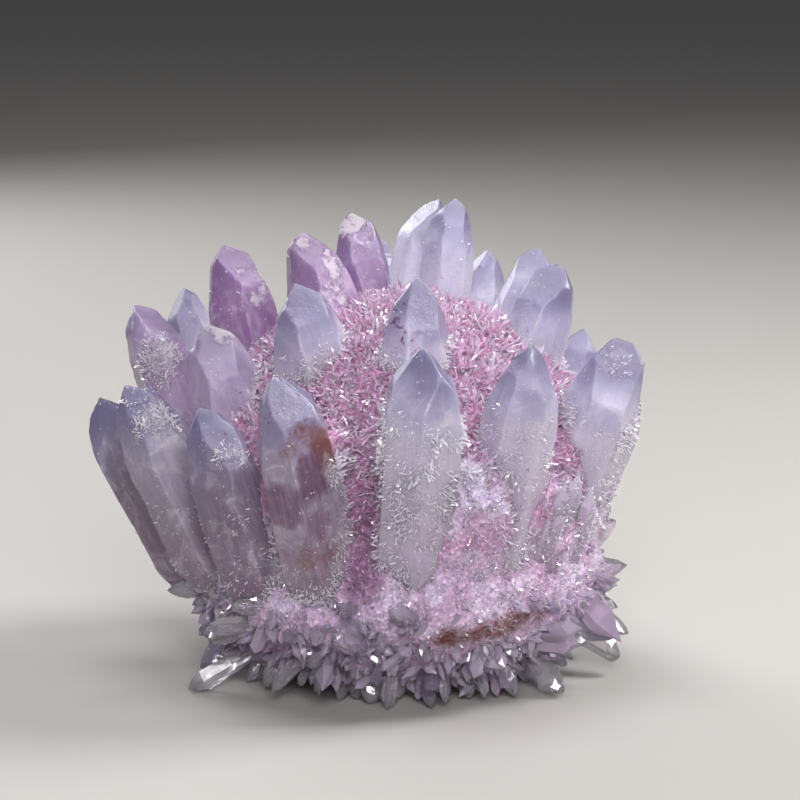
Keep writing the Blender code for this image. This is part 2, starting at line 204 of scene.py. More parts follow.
def amethyst_material(name, depth):
    """Natural amethyst, grown faces: glassy, milky inside, clear and bluish towards the tips.

    Milky quartz passes part of the light and scatters the rest, so edges glow and faces stay soft; on top of
    that the edges are painted paler as a painted highlight, and white specks are painted glints.
    Growth steps, pits and frost break its gloss into short lines and points of light. depth is how
    far light wanders inside.
    """
    material, tree, shader = new_material(name)
    place = add_node(tree, "ShaderNodeTexCoord", output="Object")
    grain = add_node(tree, "ShaderNodeAttribute", output="Vector", attribute_name="along_grain")
    squashed = {"Vector": grain, "Scale": (0.1, 0.1, 16.0)}
    squashed = add_node(tree, "ShaderNodeMapping", squashed, vector_type="POINT")
    share = {
        label: add_node(tree, "ShaderNodeAttribute", output="Fac", attribute_name=label)
        for label in ("fleck", "mottle", "iron", "frost", "pale", "edge", "prism", "milky")
    }
    for label, vector, scale, detail, roughness, distortion in (
        ("cloud", place, 1 / (4 * MM), 6.0, 0.6, 1.2),  # milky veils inside
        ("drawn", grain, 1.6, 5.0, 0.65, 0.0),  # finer veils drawn out along the point
        ("fine drawn", grain, 2.4, 5.0, 0.75, 0.0),
        ("crumbs", place, 1 / (1.1 * MM), 4.0, 0.7, 0.0),
        ("threads", place, 1 / (1.8 * MM), 6.0, 0.8, 1.0),  # iron stain under the surface
        ("swarm", place, 1 / (3 * MM), 3.0, 0.5, 0.0),  # where white specks gather
        ("pits", place, 1 / (0.7 * MM), 6.0, 0.7, 0.0),
        ("steps", squashed, 0.6, 4.0, 0.5, 0.0),  # level growth steps
    ):
        look = {"Vector": vector, "Scale": scale, "Detail": detail, "Roughness": roughness}
        look["Distortion"] = distortion
        share[label] = add_node(tree, "ShaderNodeTexNoise", look, "Fac")
    # White specks: painted glints in the colour, also bumped in as tiny pits
    for label, size in (("glint_specks", 0.8 * MM), ("grains", 0.45 * MM)):
        cells = {"Vector": place, "Scale": 1 / size}
        share[label] = add_node(tree, "ShaderNodeTexVoronoi", cells, "Distance")
    for label, low, high, to_low, to_high in (
        ("cloud", 0.48, 0.75, 0.0, 0.5),
        ("threads", 0.38, 0.62, -0.3, 0.4),
        ("glint_specks", 0.22, 0.12, 0.0, 1.0),
        ("swarm", 0.53, 0.62, 0.0, 0.8),
    ):
        span = {"Value": share[label], "From Min": low, "From Max": high}
        span.update({"To Min": to_low, "To Max": to_high})
        share[label] = add_node(tree, "ShaderNodeMapRange", span)
    for label, kind, first, second in (
        ("veil", "MULTIPLY", "cloud", "milky"),
        ("streak", "MULTIPLY", "drawn", "milky"),
        ("flecks", "MULTIPLY", "fleck", 0.17),
        ("flecks", "ADD", "flecks", "crumbs"),
        ("mottle", "ADD", "mottle", "fine drawn"),
        ("iron", "ADD", "iron", "threads"),
        ("edge", "MULTIPLY", "edge", "veil"),
        ("frost", "ADD", "frost", "crumbs"),
        ("pale", "ADD", "pale", "crumbs"),
        ("pale", "ADD", "pale", "crumbs"),
        ("glint_specks", "MULTIPLY", "glint_specks", "swarm"),
        ("steps", "MULTIPLY", "steps", "prism"),
    ):
        terms = {0: share[first], 1: share.get(second, second)}
        share[label] = add_node(tree, "ShaderNodeMath", terms, operation=kind)
    colour = add_node(tree, "ShaderNodeAttribute", output="Color", attribute_name="growth_colour")
    for label, low, high, most, hex_colour in (
        ("veil", 0.0, 1.0, 1.0, "f3eef8"),
        ("streak", 0.45, 0.7, 0.14, "f1eaf6"),
        ("drawn", 0.5, 0.3, 0.15, "8f7ba6"),
        ("flecks", 0.66, 0.72, 0.75, "7d3a78"),
        ("mottle", 0.85, 1.6, 0.85, "6f4066"),
        ("iron", 0.38, 1.15, 0.75, "8b5643"),
        # paler along the edges, in the milky veils: a painted highlight
        ("edge", 0.05, 0.5, 0.5, "f6f2fa"),
        ("frost", 0.75, 1.3, 0.45, "f6ecf5"),
        ("pale", 1.5, 1.85, 0.85, "f4e9f4"),
        # white specks: painted glints
        ("glint_specks", 0.0, 1.0, 1.0, "ffffff"),
    ):
        span = {"Value": share[label], "From Min": low, "From Max": high, "To Max": most}
        share[label] = add_node(tree, "ShaderNodeMapRange", span)
        paint = {0: share[label], 6: colour, 7: (*linear(hex_colour), 1)}
        colour = add_node(tree, "ShaderNodeMix", paint, 2, data_type="RGBA")
    crust = {0: share["frost"], 1: share["grains"], 2: share["pale"]}
    crust = add_node(tree, "ShaderNodeMath", crust, operation="MULTIPLY_ADD")
    relief = {}
    for height, strength, distance in (
        (share["steps"], 0.35, 0.15 * MM),
        (share["pits"], 0.4, 0.4 * MM),
        (crust, 0.8, 0.5 * MM),
        (share["glint_specks"], 0.7, 0.2 * MM),
    ):
        relief.update({"Height": height, "Strength": strength, "Distance": distance})
        relief = {"Normal": add_node(tree, "ShaderNodeBump", relief)}
    gloss = {"Value": share["pits"], "From Min": 0.4, "From Max": 0.7, "To Min": 0.06, "To Max": 0.22}
    gloss = add_node(tree, "ShaderNodeMapRange", gloss)
    matt = {0: crust, 1: 0.35, 2: gloss}
    clear = {"Value": share["milky"], "To Min": 0.72, "To Max": 0.5}
    inputs = {
        "Base Color": colour,
        "Roughness": add_node(tree, "ShaderNodeMath", matt, operation="MULTIPLY_ADD"),
        "IOR": 1.544,
        "Transmission Weight": add_node(tree, "ShaderNodeMapRange", clear),
        "Subsurface Weight": 1.0,
        "Subsurface Radius": (1.0, 1.0, 1.0),
        "Subsurface Scale": depth,
    }
    fill_inputs(tree, shader, inputs | relief)
    return material


def druse_ground_material():
    """Rosy druse seen between its needles: a crust of tiny crystals, matt with small glints."""
    material, tree, shader = new_material("rosy_druse_ground")
    place = add_node(tree, "ShaderNodeTexCoord", output="Object")
    tint = add_node(tree, "ShaderNodeAttribute", output="Color", attribute_name="growth_colour")
    grains = {"Vector": place, "Scale": 1 / (0.6 * MM), "Randomness": 1.0}
    grains = add_node(tree, "ShaderNodeTexVoronoi", grains, "Distance")
    shade = {"Value": grains.node.outputs["Color"], "From Min": 0.1, "From Max": 0.9, "To Min": 0.65}
    shade = add_node(tree, "ShaderNodeMapRange", shade)
    paint = {0: 1.0, 6: tint, 7: shade}
    relief = {"Height": grains, "Strength": 0.9, "Distance": 0.4 * MM}
    fill_inputs(
        tree,
        shader,
        {
            "Base Color": add_node(
                tree, "ShaderNodeMix", paint, 2, data_type="RGBA", blend_type="MULTIPLY"
            ),
            "Roughness": 0.3,
            "Normal": add_node(tree, "ShaderNodeBump", relief),
            "IOR": 1.544,
            "Subsurface Weight": 0.8,
            "Subsurface Radius": (1.0, 0.9, 1.0),
            "Subsurface Scale": 1.5 * MM,
        },
    )
    return material


def small_quartz_material(name, transmission, roughness, depth, coat=1.0):
    """Small clean quartz crystals: clear, with flat faces that glint, faintly coloured.

    A slight unevenness bends what is seen through them and spreads the glints. depth is how far
    light wanders inside, which is about the thickness of the crystals, so that they stay bright.
    """
    material, tree, shader = new_material(name)
    place = add_node(tree, "ShaderNodeTexCoord", output="Object")
    uneven = {"Vector": place, "Scale": 1 / (0.9 * MM), "Detail": 3.0}
    uneven = add_node(tree, "ShaderNodeTexNoise", uneven, "Fac")
    relief = {"Height": uneven, "Strength": 0.4, "Distance": 0.3 * MM}
    tint = add_node(tree, "ShaderNodeAttribute", output="Color", attribute_name="growth_colour")
    fill_inputs(
        tree,
        shader,
        {
            "Base Color": tint,
            "Roughness": roughness,
            "IOR": 1.544,
            "Normal": add_node(tree, "ShaderNodeBump", relief),
            "Transmission Weight": transmission,
            "Subsurface Weight": 1.0,
            "Subsurface Radius": (1.0, 1.0, 1.0),
            "Subsurface Scale": depth,
            "Coat Weight": coat,
            "Coat Roughness": 0.03,
        },
    )
    return material


# Points


class PointLooks(bpy.types.PropertyGroup):
    """Sizes and colours of the large points."""

    edge_round: FloatProperty(
        name="Edge Rounding",
        description="How far the edges between faces are worn back",
        default=0.09 * MM,
        subtype="DISTANCE",
        unit="LENGTH",
    )
    hillock: FloatProperty(
        name="Hillock Height",
        description="Height of the low swellings on the faces",
        default=0.045 * MM,
        subtype="DISTANCE",
        unit="LENGTH",
    )
    chip: FloatProperty(
        name="Chip Depth",
        description="How deep the nicks in the edges go",
        default=0.35 * MM,
        subtype="DISTANCE",
        unit="LENGTH",
    )
    gap_count: IntProperty(
        name="Gap Crystals", description="Lesser crystals tried between the points", default=460, min=0
    )
    tip_colour: FloatVectorProperty(
        name="Tip", description="Clear end of a point", default=linear("9c98bd"), subtype="COLOR"
    )
    pale_colour: FloatVectorProperty(
        name="Pale", description="Milky part of a point", default=linear("e3dff2"), subtype="COLOR"
    )
    root_colour: FloatVectorProperty(
        name="Root", description="Where a point meets the druse", default=linear("d2bdd6"), subtype="COLOR"
    )
    # Partly a smoky tint and partly painted shade: the points on the left are made darker as if they were in
    # shade.
    smoky_and_shade_colour: FloatVectorProperty(
        name="Smoky", description="Darker points on the left", default=linear("8f7f95"), subtype="COLOR"
    )
    rose_colour: FloatVectorProperty(
        name="Rose", description="Pink points of the crown", default=linear("a87fb1"), subtype="COLOR"
    )


def node_planes(node):
    """The flat faces of a solid, as (ways out, distances from the origin), and a spot inside it.

    Triangles of one face share a plane, so of like ones only the largest is kept.
    """
    mesh = frame["nodes"][node].data
    points = np.empty(len(mesh.vertices) * 3)
    mesh.vertices.foreach_get("co", points)
    index = np.empty(len(mesh.loops), np.int64)
    mesh.loops.foreach_get("vertex_index", index)
    corners = points.reshape(-1, 3)[index].reshape(-1, 3, 3)
    doubled = np.cross(corners[:, 1] - corners[:, 0], corners[:, 2] - corners[:, 0])
    area = np.linalg.norm(doubled, axis=1)
    order = np.argsort(-area)
    order = order[area[order] > 1e-10]
    ways = doubled[order] / area[order, None]
    distances = np.einsum("ij,ij->i", ways, corners[order].mean(axis=1))
    alike = (ways @ ways.T > 0.9998) & (np.abs(distances[:, None] - distances) < 0.05 * MM)
    kept = ~np.any(np.tril(alike, -1), axis=1)
    middle = np.average(corners.mean(axis=1), axis=0, weights=area)
    return ways[kept], distances[kept], middle, points.reshape(-1, 3)


class Growth:
    """A point's planes, its axis and its ends, read from its solid."""

    def __init__(self, node):
        self.node = node
        self.ways, self.distances, self.middle, corners = node_planes(node)
        away = unit(self.middle - np.array([0, 0, -FAN_DEPTH]))
        self.axis = -self.ways[np.argmin(self.ways @ away)]
        along = corners @ self.axis
        self.low, self.high = along.min(), along.max()
        self.side, self.cross = sideways(self.axis)

    def reach(self, directions, softness):
        """Distance from the middle to the surface along unit directions, and what it meets there.

        A ray leaves a plane at (distance - way . middle) / (way . direction). The surface is the
        smooth minimum of these: -s log(sum(exp(-t / s))), which rounds each edge by about s.
        Also given are the blended way out, the nearest face, and the gap to the next face's plane.
        """
        rise = directions @ self.ways.T
        room = self.distances - self.ways @ self.middle
        t = np.where(rise > 1e-6, room / np.maximum(rise, 1e-6), np.inf)
        nearest = t.min(axis=-1, keepdims=True)
        weight = np.exp(-(t - nearest) / softness)
        total = weight.sum(axis=-1, keepdims=True)
        reach = nearest[..., 0] - softness * np.log(total[..., 0])
        gap = np.partition(t, 1, axis=-1)[..., 1] - nearest[..., 0]
        return reach, unit(weight @ self.ways), t.argmin(axis=-1), gap

    def inside(self, points, margin=0.0):
        """Whether each spot lies in the point, or within margin of it."""
        return np.all(points @ self.ways.T - self.distances < margin, axis=-1)


AROUND = 128
FOOT_ROWS, SHAFT_ROWS, HEAD_ROWS = 4, 32, 44
SHOULDER = 0.3  # where the head starts, from -1 at the root to 1 at the tip
GRAIN_DRAW = 0.12  # lengths along a point are squeezed by this, so patterns are drawn out along it


def crowded_turns(growth, count, base_step=5.0, edge_width=2.5):
    """Angles round the axis that crowd where two side faces meet, so that the edges come out crisp."""
    fine = np.radians(np.arange(0, 360, 0.5))
    level = np.cos(fine)[:, None] * growth.side + np.sin(fine)[:, None] * growth.cross
    face = growth.reach(level, 1e-6)[2]
    edges = np.degrees(fine[face != np.roll(face, 1)])
    apart = np.abs((np.degrees(fine)[:, None] - edges + 180) % 360 - 180)
    density = 1 + base_step * np.exp(-((apart / edge_width) ** 2)).sum(axis=1)
    mass = np.concatenate([[0], np.cumsum(density)])
    wanted = np.linspace(0, mass[-1], count, endpoint=False)
    return np.interp(wanted, mass, np.linspace(0, 2 * math.pi, len(mass)))


def guide_profile():
    """Rows of (along, out) round a point's half section: root face, shaft and head, -1..1 and 0..1."""
    foot = np.stack([np.full(FOOT_ROWS, -1.0), np.linspace(0.25, 1, FOOT_ROWS)], -1)
    shaft_along = np.linspace(-1, SHOULDER, SHAFT_ROWS + 1)[1:]
    shaft = np.stack([shaft_along, np.ones(SHAFT_ROWS)], -1)
    part = np.linspace(0, 1, HEAD_ROWS + 2)[1:-1]
    head = np.stack([SHOULDER + (1 - SHOULDER) * part, (1 - part) ** 0.8], -1)
    return np.concatenate([foot, shaft, head])


def point_surface(growth, looks, seed):
    """A point as a function of the place along its half section and the angle round its axis.

    Directions run from the middle to a guide: a tube that narrows to the tip. Each is carried to
    the rounded planes, and the spot is then moved along the way out by low hillocks.
    """
    turns = crowded_turns(growth, AROUND)
    profile = guide_profile()
    half_length = (growth.high - growth.low) / 2
    along_middle = (growth.high + growth.low) / 2 - growth.middle @ growth.axis
    half_width = 0.15 * (growth.high - growth.low)
    round_way = np.cos(turns)[:, None] * growth.side + np.sin(turns)[:, None] * growth.cross
    along = along_middle + half_length * profile[:, :1, None]
    directions = along * growth.axis + half_width * profile[:, 1:, None] * round_way
    poles = np.array([[-1.0], [1.0]]) * half_length + along_middle
    directions = np.concatenate(
        [poles[:1] * growth.axis, directions.reshape(-1, 3), poles[1:] * growth.axis]
    )
    reach, ways, _, gap = growth.reach(unit(directions), looks.edge_round)
    points = growth.middle + unit(directions) * reach[:, None]
    swell = rough_noise(points, 2.2 * MM, 3, seed) - 0.6
    bend = noise(points, 7 * MM, seed + 30) - 0.8
    edge = np.exp(-gap / (0.5 * MM))
    chip = smooth_step(0.1, 0.6, rough_noise(points, 2.5 * MM, 3, seed + 60))
    lift = looks.hillock * (swell + 1.6 * bend) - looks.chip * edge * chip
    points += ways * lift[:, None]
    prism = 1 - smooth_step(0.05, 0.2, np.abs(ways @ growth.axis))
    faces = closed_rings(len(profile), AROUND)
    # edge is nearness to an edge, which the material paints paler as a painted highlight
    return points, faces, {"prism": prism, "edge": np.exp(-gap / (0.25 * MM))}


PALENESS = {
    # share of the pale colour in the body of a coloured point
    "middle_left": 0.5,
    "middle_left_back": 0.25,
    "crown_middle": 0.1,
    "outer_left_2": 0.35,
    "outer_front_left": 0.3,
}


def growth_colours(growth, points, looks, family, seed):
    """Colour and milkiness along a point: clear tip, milky or coloured body, rosy root."""
    below = growth.high - points @ growth.axis
    wander = rough_noise(points, 5 * MM, 3, seed + 40) * 3 * MM
    body = {
        "pale_lilac": looks.pale_colour,
        "smoky_lilac": looks.smoky_and_shade_colour,
        "rose_lilac": looks.rose_colour,
    }[family]
    body, tip, root = (np.array(c) for c in (body, looks.tip_colour, looks.root_colour))
    body = body + (np.array(looks.pale_colour) - body) * PALENESS.get(growth.node, 0)
    if family == "rose_lilac":
        tip = 0.3 * tip + 0.7 * body
    # Painted shade: the roots of the smoky points on the left are darkened, as if under their overhang.
    if family == "smoky_lilac":
        root = root * np.array([0.55, 0.45, 0.48])
    tip_share = 1 - smooth_step(2 * MM, 13 * MM, below + wander)
    root_share = smooth_step(11 * MM, 26 * MM, below + wander)
    colour = body + (tip - body) * tip_share[:, None] * 0.9
    colour = colour + (root - colour) * root_share[:, None] * 0.6
    return colour, 1 - 0.9 * (1 - smooth_step(0, 9 * MM, below + wander))


PATCHES = (
    # point, kind, place mm, reach mm, strength
    ("outer_front_left", "iron", (-12.2, -31.8, 38.9), 1.8, 0.9),
    ("outer_front_left", "iron", (-10.4, -30.8, 38.9), 2.0, 1.0),
    ("outer_front_left", "iron", (-9.0, -29.8, 37.8), 2.3, 1.1),
    ("outer_front_left", "iron", (-8.4, -28.9, 35.8), 2.4, 1.1),
    ("outer_front_left", "iron", (-13.8, -32.6, 37.4), 1.8, 0.8),
    ("outer_front_left", "iron", (-14.8, -33.2, 35.8), 1.8, 0.6),
    ("outer_front_left", "iron", (-9.4, -27.8, 22.2), 3.2, 0.85),
    ("outer_front_left", "iron", (-12.6, -28.6, 21.6), 3.0, 0.75),
    ("outer_front_left", "mottle", (-11.6, -31.0, 32.3), 5.0, 1.0),
    ("outer_front_left", "mottle", (-14.3, -30.1, 29.5), 4.6, 0.95),
    ("outer_front_left", "mottle", (-11.0, -29.4, 27.0), 3.6, 0.7),
    ("outer_front_left", "frost", (-8.2, -28.2, 33.4), 2.4, 1.0),
    ("outer_front_left", "fleck", (-13.5, -33.0, 42.0), 4.0, 0.35),
    ("middle_front", "fleck", (0.4, -18.2, 53.0), 3.2, 0.75),
    ("middle_front", "fleck", (1.0, -18.6, 48.6), 3.4, 0.6),
    ("middle_front_left", "fleck", (-15.0, -16.0, 52.6), 3.2, 0.55),
    ("outer_front_right", "fleck", (15.4, -27.0, 43.0), 3.6, 0.3),
    ("outer_left", "fleck", (-22.9, -25.7, 36.0), 4.4, 0.45),
    ("outer_left_2", "frost", (-32.9, -14.0, 38.4), 3.2, 0.7),
    ("outer_left", "frost", (-22.4, -25.0, 35.4), 2.0, 0.5),
    ("middle_left", "pale", (-23.8, -11.2, 50.2), 2.6, 1.0),
    ("middle_left", "pale", (-25.6, -10.6, 49.6), 2.0, 0.9),
    ("middle_left_back", "frost", (-32.6, 0.0, 44.6), 3.4, 0.85),
    ("crown_middle", "pale", (-6.8, 6.2, 62.1), 2.2, 0.9),
    ("crown_left", "pale", (-19.8, 4.1, 55.7), 3.6, 0.85),
    ("crown_left", "pale", (-20.4, 2.6, 52.0), 3.0, 0.7),
    ("crown_middle_left", "pale", (-13.8, -0.1, 60.1), 1.6, 0.8),
    ("crown_middle_left", "pale", (-9.6, -1.5, 56.9), 2.6, 0.85),
    ("crown_middle_left", "pale", (-9.2, -2.4, 53.6), 2.4, 0.7),
    ("middle_front_left", "frost", (-8.6, -17.8, 46.6), 3.0, 0.6),
    ("outer_right", "frost", (29.0, -12.0, 45.0), 2.6, 0.45),
)


def patch_shares(growth, points, seed):
    """How much of each kind of patch lies on each spot: 1 at a patch's place, fading to its reach."""
    shares = {kind: np.zeros(len(points)) for kind in ("iron", "fleck", "mottle", "frost", "pale")}
    wander = rough_noise(points, 2.5 * MM, 4, seed + 70)
    for node, kind, place, reach, strength in PATCHES:
        if node != growth.node:
            continue
        away = np.linalg.norm(points - np.array(place) * MM, axis=1) / (reach * MM)
        share = strength * (1 - smooth_step(0.4, 1.2, away + 1.1 * wander))
        shares[kind] = np.maximum(shares[kind], share)
    return shares


FROST_USUAL = (12, 20, 26, 34, 0.7, 0.4)
FROST_BELTS = {
    # point: mm below the tip where frost starts, is full, starts to thin and is thin again, and its
    # density where full and below
    "outer_front_left": (20, 30, 34, 36, 0.25, 0.25),
    "outer_front": (8.5, 11, 18, 24, 1.0, 0.7),
    "outer_front_right": (7, 11, 18, 24, 0.9, 0.8),
    "outer_right": (8, 12, 20, 26, 0.7, 0.6),
    "outer_left": (10, 24, 32, 36, 0.25, 0.2),
    "outer_left_2": (14, 26, 32, 36, 0.15, 0.1),
    "outer_left_3": (20, 30, 34, 36, 0.1, 0.1),
    "middle_front_left": (7, 12, 20, 24, 0.7, 0.5),
    "middle_front": (8, 14, 20, 24, 0.5, 0.5),
    "middle_right": (12, 20, 24, 26, 0.4, 0.4),
    "middle_left": (14, 24, 26, 28, 0.3, 0.3),
    "middle_left_back": (10, 20, 26, 28, 0.3, 0.3),
    "crown_left": (12, 20, 26, 28, 0.25, 0.25),
    "crown_middle_left": (12, 20, 26, 28, 0.25, 0.25),
    "crown_middle": (10, 18, 26, 28, 0.25, 0.25),
}


def frost_cover(growth, points, seed):
    """How thickly frost covers each spot: in a belt below the tip, round the root and in patches."""
    below = (growth.high - points @ growth.axis) / MM
    patch = rough_noise(points, 7 * MM, 3, seed + 80)
    start, full, thins, thin, most, least = FROST_BELTS.get(growth.node, FROST_USUAL)
    cover = most + (least - most) * smooth_step(thins, thin, below + 3 * patch)
    cover = cover * smooth_step(start, full, below + 5 * patch)
    tuft = rough_noise(points, 2.6 * MM, 2, seed + 90)
    cover = cover * (0.3 + 0.7 * smooth_step(-0.2, 0.3, patch))
    cover = cover * (0.25 + 0.75 * smooth_step(-0.2, 0.2, tuft))
    out = np.linalg.norm(points[:, :2], axis=1) - lump_radius(points[:, 2])
    root = 0.7 * (1 - smooth_step(1.5 * MM, 3.5 * MM, out))
    return np.maximum(np.maximum(cover, root), patch_shares(growth, points, seed)["frost"])


class CLUSTER_OT_points(bpy.types.Operator):
    """Builds the large points, each in place of its solid"""

    bl_idname = "cluster.points"
    bl_label = "Points"

    def execute(self, context):
        looks = context.scene.cluster_points
        material = amethyst_material("grown_amethyst", 2.5 * MM)
        families = {row["node"]: row["material_slot"] for row in frame["record"]["subparts"]}
        for seed, (node, family) in enumerate(sorted(families.items())):
            if node == CRUST:
                continue
            growth = Growth(node)
            points, faces, attributes = point_surface(growth, looks, seed)
            colours, milky = growth_colours(growth, points, looks, family, seed)
            attributes.update(growth_colour=colours, milky=milky)
            own = np.stack([growth.side, growth.cross, GRAIN_DRAW * growth.axis], axis=1)
            attributes["along_grain"] = (points @ own) / MM + 20 * seed
            attributes.update(patch_shares(growth, points, seed))
            attributes["frost"] = frost_cover(growth, points, seed)
            piece = make_piece(node + "_grown", points, faces, material, True, attributes)
            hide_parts(node)
        return {"FINISHED"}


# Ground


class DruseLooks(bpy.types.PropertyGroup):
    """Sizes and colours of the druse."""

    ground_swell: FloatProperty(
        name="Ground Swell",
        description="Height of the lumps in the druse between the points",
        default=1.1 * MM,
        subtype="DISTANCE",
        unit="LENGTH",
    )
    shelf: FloatProperty(
        name="Shelf",
        description="How far the druse fills the gaps between the outer points",
        default=3.8 * MM,
        subtype="DISTANCE",
        unit="LENGTH",
    )
    coarse_count: IntProperty(
        name="Coarse Crystals", description="Stubby crystals on the lump", default=2900, min=0
    )
    coarse_length: FloatProperty(
        name="Coarse Length",
        description="Typical length of a stubby crystal",
        default=1.35 * MM,
        subtype="DISTANCE",
        unit="LENGTH",
    )
    needle_length: FloatProperty(
        name="Needle Length",
        description="Typical length of a needle",
        default=1.1 * MM,
        subtype="DISTANCE",
        unit="LENGTH",
    )
    needle_count: IntProperty(
        name="Needles", description="Needles on the lump", default=34000, min=0
    )
    frost_count: IntProperty(
        name="Frost Needles", description="Needles on the points", default=60000, min=0
    )
    rosy: FloatVectorProperty(
        name="Rosy", description="Druse in the gaps", default=linear("c997bb"), subtype="COLOR"
    )
    white: FloatVectorProperty(
        name="White", description="Needles and small crystals outside", default=linear("e7ddf2"), subtype="COLOR"
    )
    rust: FloatVectorProperty(
        name="Rust", description="Iron stain", default=linear("7c463d"), subtype="COLOR"
    )


def lump_radius(height):
    """The lump's outline: a bowl over the flat break, a straight side and an elliptic dome."""
    rise = np.clip(height / FOOT_FLARE, 0, 1)
    bowl = FOOT_RADIUS + (LUMP_RADIUS - FOOT_RADIUS) * np.sin(rise * math.pi / 2) ** 0.85
    dome = np.clip((height - LUMP_MIDDLE) / DOME_RISE, 0, 1)
    return bowl * np.sqrt(1 - dome**2)


GROUND_ROWS, GROUND_AROUND = 130, 300


def crevice_share(points):
    """1 in the deep gap on the right of the point at the front left, and 0 away from it."""
    azimuth = np.degrees(np.arctan2(points[..., 0], -points[..., 1]))
    return np.exp(-(((azimuth + 11) / 6) ** 4)) * smooth_step(13 * MM, 18 * MM, points[..., 2])


def ground_surface(looks):
    """The lump as a function of height and azimuth, its outline swollen by noise, flat underneath."""
    part = np.linspace(0, 1, GROUND_ROWS)[:-1]
    height = LUMP_TOP * np.sin(part * math.pi / 2) ** 1.3
    azimuth = np.arange(GROUND_AROUND) * 360 / GROUND_AROUND
    way = outward(azimuth)
    spot = way * lump_radius(height)[:, None, None]
    spot = spot + height[:, None, None] * np.array([0, 0, 1.0])
    lean = unit(spot - np.array([0, 0, 0.35]) * height[:, None, None])
    swell = rough_noise(spot, 4 * MM, 4, 5) + 0.5 * rough_noise(spot, 1.2 * MM, 2, 9)
    grown = smooth_step(0, 4 * MM, height)[:, None]
    top = 35 * MM + 4 * MM * noise(spot, 9 * MM, 12)
    low, middle = (smooth_step(start * MM, end * MM, height)[:, None] for start, end in ((5, 11), (17, 27)))
    filled = (0.4 * low + 0.6 * middle) * (1 - smooth_step(-6 * MM, 4 * MM, height[:, None] - top))
    crowded = 0.6 * np.exp(-(((azimuth - 17) / 12) ** 4))
    uneven = (1 + crowded + 0.4 * noise(spot, 5 * MM, 15)) * (1 - crevice_share(spot))
    lift = looks.ground_swell * (swell + 0.4) * grown + looks.shelf * filled * uneven
    spot = spot + lean * lift[..., None]
    points = np.concatenate([[[0, 0, 0]], spot.reshape(-1, 3), [[0, 0, LUMP_TOP + MM]]])
    return points, closed_rings(len(height), GROUND_AROUND)


def druse_colours(points, looks, white_lift=0.0):
    """Rosy high up and in the gaps, paler round the foot, rusty in one band at the front right.

    white_lift is how far each spot's own colour goes towards white, outside the rusty band. The deep gap at the
    front left is darkened towards magenta as painted shade.
    """
    radius = np.linalg.norm(points[:, :2], axis=1)
    wander = rough_noise(points, 6 * MM, 3, 21)
    mottle = rough_noise(points, 2.4 * MM, 3, 61)
    white_share = smooth_step(0.5, -0.5, (points[:, 2] - 27 * MM) / (16 * MM) + wander * 0.6) * 0.6
    white_share = np.maximum(white_share, smooth_step(28 * MM, 34 * MM, radius + wander * 3 * MM))
    white_share = np.clip(white_share + 0.5 * mottle, 0, 1)
    white_share = 1 - (1 - white_share) * (1 - white_lift)
    rosy, white, rust = (np.array(c) for c in (looks.rosy, looks.white, looks.rust))
    colour = rosy + (white - rosy) * white_share[:, None]
    # Painted shade: the deep gap at the front left is darkened towards magenta, fading out higher up.
    deep = crevice_share(points) * (1 - smooth_step(26 * MM, 34 * MM, points[:, 2]))
    colour = colour * (1 - np.array([0.4, 0.55, 0.45]) * deep[:, None])
    crumbs = smooth_step(-0.3, 0.6, rough_noise(points, 0.9 * MM, 2, 44))
    rust = rust + (white - rust) * 0.4 * crumbs[:, None]
    return colour + (rust - colour) * ledge_share(points)[:, None]


def ledge_band(points):
    """1 in a band that rises to the right round the foot, and 0 away from it."""
    azimuth = np.degrees(np.arctan2(points[:, 0], -points[:, 1]))
    wander = noise(points, 3 * MM, 34)
    middle = 10.9 * MM + 0.04 * MM * (azimuth - 10) + 0.5 * MM * wander
    half = (1.3 + 0.5 * noise(points, 2 * MM, 35)) * MM
    return np.exp(-(((azimuth - 24 + 4 * wander) / 17) ** 6) - ((points[:, 2] - middle) / half) ** 2)


def ledge_share(points):
    """How rusty each spot is: the band above, broken into grains."""
    return np.clip(ledge_band(points) * (1.3 + 1.6 * rough_noise(points, 1.1 * MM, 3, 33)), 0, 0.95)


class CLUSTER_OT_ground(bpy.types.Operator):
    """Builds the druse lump that the points grow from"""

    bl_idname = "cluster.ground"
    bl_label = "Druse Ground"

    def execute(self, context):
        looks = context.scene.cluster_druse
        points, faces = ground_surface(looks)
        attributes = {"growth_colour": druse_colours(points, looks) ** 1.3}
        piece = make_piece(
            "druse_ground", points, faces, druse_ground_material(), True, attributes
        )
        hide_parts(CRUST)
        return {"FINISHED"}


# Small crystals and needles


PLAIN_TIP = ((0.0, 1.0),)
WORN_TIP = ((0.0, 1.0), (0.42, 0.78), (0.78, 0.42))


